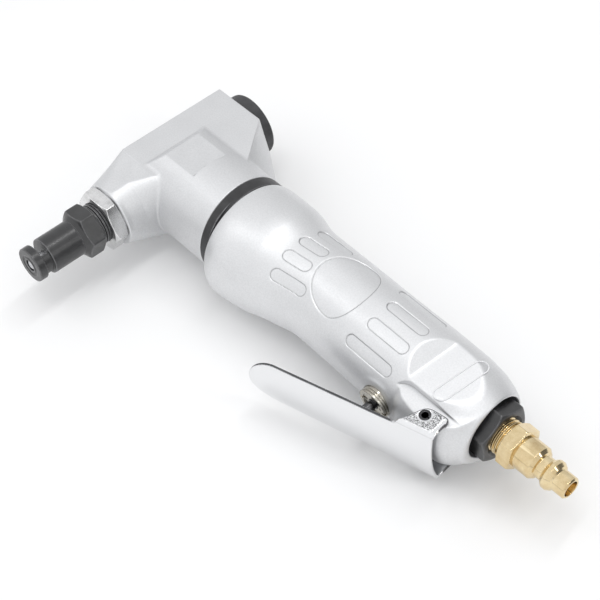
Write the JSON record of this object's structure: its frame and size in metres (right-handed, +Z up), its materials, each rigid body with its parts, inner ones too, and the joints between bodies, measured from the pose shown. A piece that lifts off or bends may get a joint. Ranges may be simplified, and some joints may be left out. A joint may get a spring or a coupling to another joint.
{
  "type": "air nibbler",
  "caption": "Pneumatic sheet-metal nibbler: right-angle head with punch and die, round aluminium grip with a squeeze lever, and an air plug at the rear.",
  "frame": {"origin": "bottom centre of the whole tool's box, the tool lying on its side", "axes": "+X from the head along the grip to the air inlet, -Y towards the die and the lever, +Z up"},
  "size_m": [0.2038, 0.1038, 0.0403],
  "materials": {
    "head_casting": "bead-blasted satin casting",
    "grip_casting": "bead-blasted satin casting",
    "dark_cap": "black oxide, satin",
    "ring_black": "black oxide, satin",
    "black_steel": "black oxide, satin",
    "pin_black": "black oxide, satin",
    "nut_steel": "zinc plated, turned",
    "tool_steel": "ground, satin",
    "bearing_steel": "polished",
    "stem_steel": "blackened, polished",
    "spring_steel": "drawn wire",
    "lever_chrome": "bright chrome, lightly brushed",
    "bushing_nickel": "nickel-washed brass, turned",
    "brass": "bright brass, turned",
    "bronze": "sintered bronze",
    "seal_rubber": "matte",
    "vane_composite": "resin and cloth laminate, matte"
  },
  "bodies": {
    "housing": {"head_housing": "head_casting", "rear_cap": "dark_cap", "cap_seal": "seal_rubber", "punch_guide": "bronze", "lock_nut": "nut_steel", "spindle_bush": "bronze", "spindle_bearing_outer": "bearing_steel", "ring_gear": "ring_black", "motor_front_plate": "tool_steel", "motor_cylinder": "tool_steel", "motor_rear_plate": "tool_steel", "cylinder_dowel": "tool_steel", "front_bearing_outer": "bearing_steel", "rear_bearing_outer": "bearing_steel", "grip_housing": "grip_casting", "lever_pin": "pin_black", "valve_bushing": "bushing_nickel", "stem_seal": "seal_rubber", "valve_seat": "seal_rubber", "valve_spring": "spring_steel", "inlet_bushing": "black_steel", "inlet_seal": "seal_rubber", "inlet_screen": "spring_steel", "hose_plug": "brass"},
    "die_head": {"die_holder": "black_steel", "die": "black_steel"},
    "ram_body": {"ram": "tool_steel", "punch": "tool_steel", "punch_retainer": "black_steel"},
    "crank": {"crank_spindle": "tool_steel", "spindle_bearing_inner": "bearing_steel", "planet_pins": "tool_steel"},
    "roller": {"crank_roller": "tool_steel"},
    "planet_1": {"planet_gear_1": "tool_steel"},
    "planet_2": {"planet_gear_2": "tool_steel"},
    "planet_3": {"planet_gear_3": "tool_steel"},
    "rotor_body": {"rotor": "tool_steel", "rotor_vanes": "vane_composite", "front_bearing_inner": "bearing_steel", "rear_bearing_inner": "bearing_steel"},
    "spindle_balls": {"spindle_bearing_balls": "bearing_steel"},
    "front_balls": {"front_bearing_balls": "bearing_steel"},
    "rear_balls": {"rear_bearing_balls": "bearing_steel"},
    "lever": {"throttle_lever": "lever_chrome"},
    "stem": {"valve_stem": "stem_steel"},
    "valve": {"throttle_valve": "tool_steel"}
  },
  "joints": [
    {"name": "lever_squeeze", "type": "hinge", "parent": "housing", "child": "lever", "pos_m": [0.05638, -0.00207, 0.01837], "axis": [0, 0.1219, -0.9925], "range_deg": [0, 12.5], "stiffness_Nm_per_rad": 0.6, "springref_deg": -17.19},
    {"name": "stem_push", "type": "slide", "parent": "housing", "child": "stem", "axis": [0, 0.9925, 0.1219], "range_m": [0, 0.00507]},
    {"name": "valve_tilt", "type": "hinge", "parent": "housing", "child": "valve", "pos_m": [0.04528, 0.01123, 0.02], "axis": [0, 0.1219, -0.9925], "range_deg": [0, 10.8], "deforming": ["valve_spring"]},
    {"name": "rotor_spin", "type": "hinge", "parent": "housing", "child": "rotor_body", "pos_m": [-0.02552, 0.0147, 0.02043], "axis": [1, 0, 0], "continuous": true},
    {"name": "crank_spin", "type": "hinge", "parent": "housing", "child": "crank", "pos_m": [-0.06953, 0.0147, 0.02043], "axis": [1, 0, 0], "continuous": true},
    {"name": "roller_spin", "type": "hinge", "parent": "crank", "child": "roller", "pos_m": [-0.08453, 0.01145, 0.02043], "axis": [1, 0, 0], "continuous": true},
    {"name": "die_swivel", "type": "hinge", "parent": "housing", "child": "die_head", "pos_m": [-0.08952, -0.0303, 0.02043], "axis": [0, 1, 0], "continuous": true},
    {"name": "spindle_balls_spin", "type": "hinge", "parent": "housing", "child": "spindle_balls", "pos_m": [-0.07253, 0.0147, 0.02043], "axis": [1, 0, 0], "continuous": true},
    {"name": "front_balls_spin", "type": "hinge", "parent": "housing", "child": "front_balls", "pos_m": [-0.04122, 0.0147, 0.02043], "axis": [1, 0, 0], "continuous": true},
    {"name": "rear_balls_spin", "type": "hinge", "parent": "housing", "child": "rear_balls", "pos_m": [-0.00923, 0.0147, 0.02043], "axis": [1, 0, 0], "continuous": true},
    {"name": "ram_stroke", "type": "slide", "parent": "housing", "child": "ram_body", "axis": [0, 1, 0], "range_m": [0, 0.0065]},
    {"name": "planet_1_spin", "type": "hinge", "parent": "crank", "child": "planet_1", "pos_m": [-0.05053, 0.0255, 0.02043], "axis": [1, 0, 0], "continuous": true},
    {"name": "planet_2_spin", "type": "hinge", "parent": "crank", "child": "planet_2", "pos_m": [-0.05053, 0.0093, 0.02978], "axis": [1, 0, 0], "continuous": true},
    {"name": "planet_3_spin", "type": "hinge", "parent": "crank", "child": "planet_3", "pos_m": [-0.05053, 0.0093, 0.01107], "axis": [1, 0, 0], "continuous": true}
  ],
  "couplings": [
    {"joint": "stem_push", "follows": "lever_squeeze", "m_per_rad": 0.023147},
    {"joint": "valve_tilt", "follows": "lever_squeeze", "ratio": 0.86},
    {"joint": "crank_spin", "follows": "rotor_spin", "ratio": 0.22222},
    {"joint": "roller_spin", "follows": "rotor_spin", "ratio": -0.22222},
    {"joint": "front_balls_spin", "follows": "rotor_spin", "ratio": 0.372},
    {"joint": "rear_balls_spin", "follows": "rotor_spin", "ratio": 0.372},
    {"joint": "spindle_balls_spin", "follows": "rotor_spin", "ratio": 0.085556},
    {"joint": "planet_1_spin", "follows": "rotor_spin", "ratio": -0.62222},
    {"joint": "planet_2_spin", "follows": "rotor_spin", "ratio": -0.62222},
    {"joint": "planet_3_spin", "follows": "rotor_spin", "ratio": -0.62222}
  ]
}
